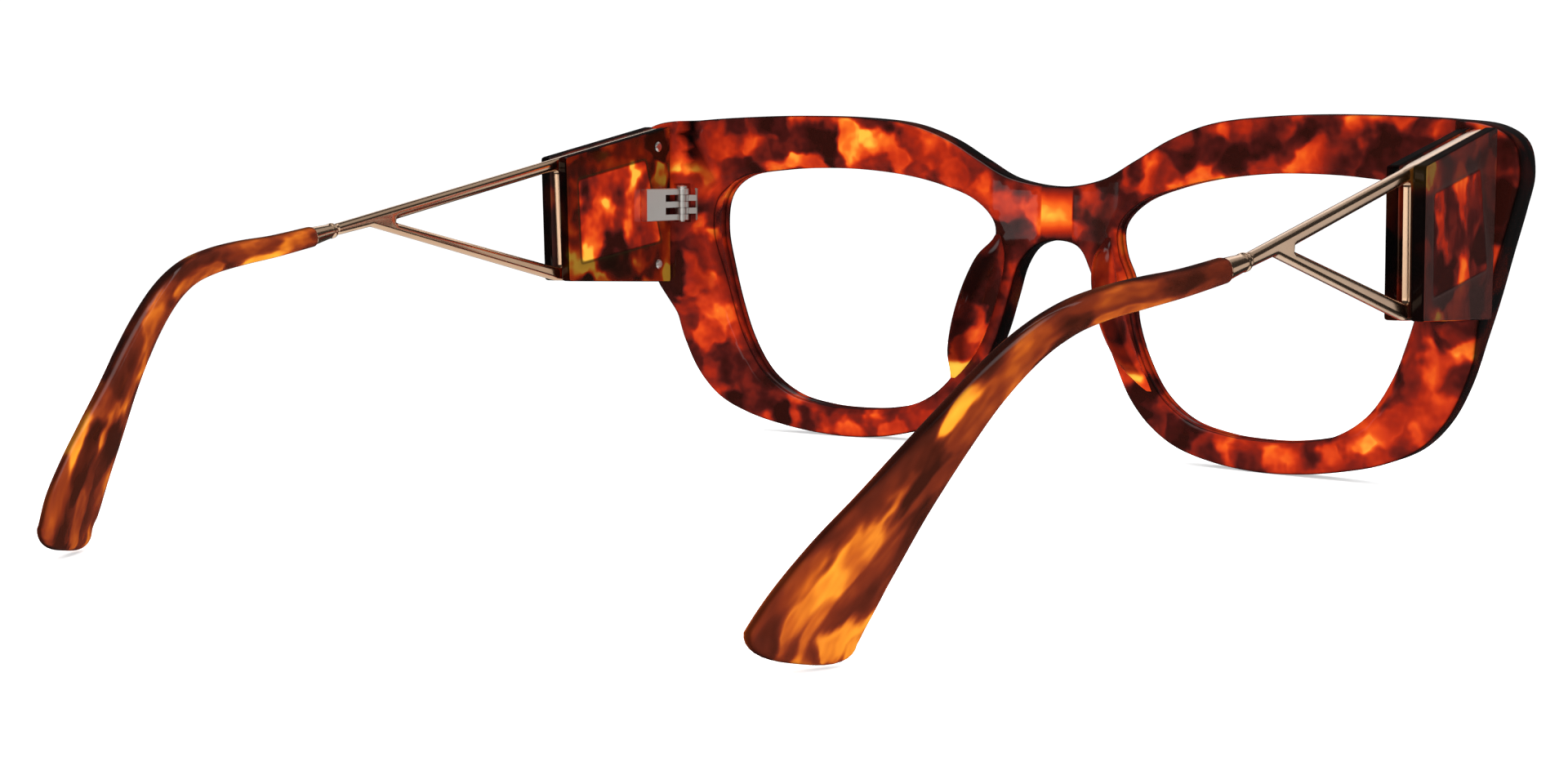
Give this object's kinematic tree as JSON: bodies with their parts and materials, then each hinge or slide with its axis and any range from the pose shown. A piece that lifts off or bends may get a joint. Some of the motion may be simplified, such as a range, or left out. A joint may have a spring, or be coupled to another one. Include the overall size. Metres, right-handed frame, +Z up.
{
  "type": "eyeglasses frame",
  "caption": "Eyeglasses frame with a deep upswept acetate front, hinged sandwich temples with open metal cores, and bent acetate tips.",
  "frame": {"origin": "centre of the footprint, on the surface that the lower rims and the temple tips stand on", "axes": "+X towards the wearer's right, +Y forward out of the front, +Z up; temples open and pointing along -Y"},
  "size_m": [0.1528, 0.1594, 0.0533],
  "materials": {
    "front": "polished tortoiseshell acetate, dark brown to red, orange and amber",
    "nose_pad_left": "polished tortoiseshell acetate, bonded to the rim",
    "nose_pad_right": "polished tortoiseshell acetate, bonded to the rim",
    "hinge_front_leaf_left": "nickel silver, satin",
    "hinge_front_leaf_right": "nickel silver, satin",
    "hinge_temple_leaf_left": "nickel silver, satin",
    "hinge_screw_left": "nickel silver, satin",
    "temple_core_left": "polished rose gold plating",
    "temple_plate_inner_left": "polished tortoiseshell acetate",
    "temple_plate_outer_left": "polished tortoiseshell acetate",
    "plate_screw_upper_left": "nickel silver, satin",
    "plate_screw_lower_left": "nickel silver, satin",
    "ferrule_left": "polished rose gold plating",
    "temple_tip_left": "polished amber tortoiseshell acetate",
    "hinge_temple_leaf_right": "nickel silver, satin",
    "hinge_screw_right": "nickel silver, satin",
    "temple_core_right": "polished rose gold plating",
    "temple_plate_inner_right": "polished tortoiseshell acetate",
    "temple_plate_outer_right": "polished tortoiseshell acetate",
    "plate_screw_upper_right": "nickel silver, satin",
    "plate_screw_lower_right": "nickel silver, satin",
    "ferrule_right": "polished rose gold plating",
    "temple_tip_right": "polished amber tortoiseshell acetate"
  },
  "bodies": {
    "front": {"front": "front", "nose_pad_left": "nose_pad_left", "nose_pad_right": "nose_pad_right", "hinge_front_leaf_left": "hinge_front_leaf_left", "hinge_front_leaf_right": "hinge_front_leaf_right"},
    "temple_left": {"hinge_temple_leaf_left": "hinge_temple_leaf_left", "hinge_screw_left": "hinge_screw_left", "temple_core_left": "temple_core_left", "temple_plate_inner_left": "temple_plate_inner_left", "temple_plate_outer_left": "temple_plate_outer_left", "plate_screw_upper_left": "plate_screw_upper_left", "plate_screw_lower_left": "plate_screw_lower_left", "ferrule_left": "ferrule_left", "temple_tip_left": "temple_tip_left"},
    "temple_right": {"hinge_temple_leaf_right": "hinge_temple_leaf_right", "hinge_screw_right": "hinge_screw_right", "temple_core_right": "temple_core_right", "temple_plate_inner_right": "temple_plate_inner_right", "temple_plate_outer_right": "temple_plate_outer_right", "plate_screw_upper_right": "plate_screw_upper_right", "plate_screw_lower_right": "plate_screw_lower_right", "ferrule_right": "ferrule_right", "temple_tip_right": "temple_tip_right"}
  },
  "joints": [
    {"name": "hinge_left", "type": "hinge", "parent": "front", "child": "temple_left", "pos_m": [-0.066, 0.06561, 0.0384], "axis": [0, 0, 1], "range_deg": [0, 86]},
    {"name": "hinge_right", "type": "hinge", "parent": "front", "child": "temple_right", "pos_m": [0.066, 0.06561, 0.0384], "axis": [0, 0, -1], "range_deg": [0, 70]}
  ]
}
